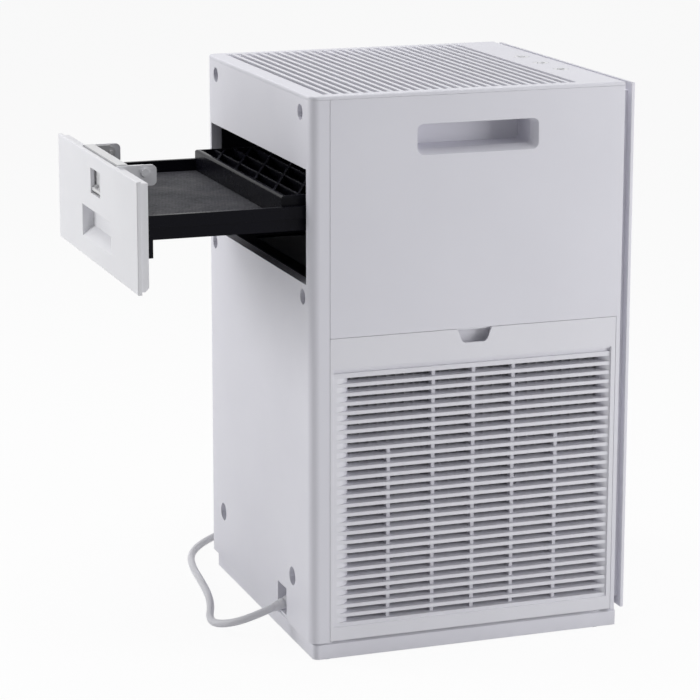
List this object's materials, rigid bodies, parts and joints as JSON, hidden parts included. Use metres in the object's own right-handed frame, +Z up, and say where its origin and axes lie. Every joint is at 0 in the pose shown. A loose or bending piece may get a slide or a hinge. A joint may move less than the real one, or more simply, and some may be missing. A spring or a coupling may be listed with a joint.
{
  "type": "air purifier",
  "caption": "Upright boxy air purifier with slatted inlet doors on both sides, slatted top outlet and a filter drawer pulled out of the rear.",
  "frame": {"origin": "on the floor, under the middle of the closed body's footprint", "axes": "+Z up, the front panel faces -Y, the drawer slides out along +Y, the inlet doors face -X and +X"},
  "size_m": [0.3793, 0.403, 0.45],
  "materials": {
    "casing_white": "fine satin moulding",
    "rubber": "matt",
    "steel": "plated",
    "circuit_board": "solder mask",
    "black_plastic": "satin moulding",
    "prefilter_grey": "fine mesh",
    "filter_board": "coated board",
    "filter_paper": "pleated fleece",
    "inner_plastic": "satin moulding",
    "fan_plastic": "satin moulding",
    "motor_steel": "drawn can",
    "carbon_filter": "woven over granules",
    "cord_grey": "satin",
    "tie_white": "satin"
  },
  "bodies": {
    "casing": {"base": "casing_white", "feet": "rubber", "rear_casing": "casing_white", "rear_screws": "steel", "left_side_panel": "casing_white", "right_side_panel": "casing_white", "front_frame": "casing_white", "front_panel": "casing_white", "top_cover": "casing_white", "outlet_guard": "casing_white", "control_board": "circuit_board", "key_switches": "black_plastic", "left_hepa_frame": "filter_board", "right_hepa_frame": "filter_board", "left_hepa_media": "filter_paper", "right_hepa_media": "filter_paper", "left_inlet_plate": "inner_plastic", "right_inlet_plate": "inner_plastic", "fan_scroll": "inner_plastic", "motor": "motor_steel", "motor_bracket": "steel", "motor_screws": "steel", "board_tray": "black_plastic", "power_board": "circuit_board", "drawer_bay": "black_plastic", "strain_relief": "cord_grey", "cord": "cord_grey", "cord_coil": "cord_grey", "cord_tie": "tie_white", "plug": "cord_grey"},
    "left_door": {"left_door": "casing_white", "left_prefilter": "prefilter_grey"},
    "right_door": {"right_door": "casing_white", "right_prefilter": "prefilter_grey"},
    "fan_wheel": {"impeller": "fan_plastic", "motor_shaft": "steel"},
    "power_key": {"power_key": "casing_white"},
    "mode_key": {"mode_key": "casing_white"},
    "speed_key": {"speed_key": "casing_white"},
    "drawer": {"drawer_front": "casing_white", "latch_pins": "steel", "filter_tray": "black_plastic", "deodorising_filter": "carbon_filter", "ioniser_cage": "black_plastic"},
    "latch": {"drawer_latch": "casing_white"}
  },
  "joints": [
    {"name": "drawer_slide", "type": "slide", "parent": "casing", "child": "drawer", "axis": [0, 1, 0], "range_m": [-0.133, 0.067]},
    {"name": "latch_turn", "type": "hinge", "parent": "drawer", "child": "latch", "pos_m": [0, 0.2426, 0.3854], "axis": [1, 0, 0], "range_deg": [-6, 0], "stiffness_Nm_per_rad": 0.05, "springref_deg": 5.73},
    {"name": "left_door_tilt", "type": "hinge", "parent": "casing", "child": "left_door", "pos_m": [-0.127, 0, 0.0205], "axis": [0, -1, 0], "range_deg": [0, 25]},
    {"name": "right_door_tilt", "type": "hinge", "parent": "casing", "child": "right_door", "pos_m": [0.127, 0, 0.0205], "axis": [0, 1, 0], "range_deg": [0, 25]},
    {"name": "fan_spin", "type": "hinge", "parent": "casing", "child": "fan_wheel", "pos_m": [0, 0, 0.15], "axis": [1, 0, 0], "continuous": true},
    {"name": "power_key_press", "type": "slide", "parent": "casing", "child": "power_key", "axis": [0, 0, -1], "range_m": [0, 0.0008], "stiffness_N_per_m": 300, "springref_m": -0.0005},
    {"name": "mode_key_press", "type": "slide", "parent": "casing", "child": "mode_key", "axis": [0, 0, -1], "range_m": [0, 0.0008], "stiffness_N_per_m": 300, "springref_m": -0.0005},
    {"name": "speed_key_press", "type": "slide", "parent": "casing", "child": "speed_key", "axis": [0, 0, -1], "range_m": [0, 0.0008], "stiffness_N_per_m": 300, "springref_m": -0.0005}
  ]
}
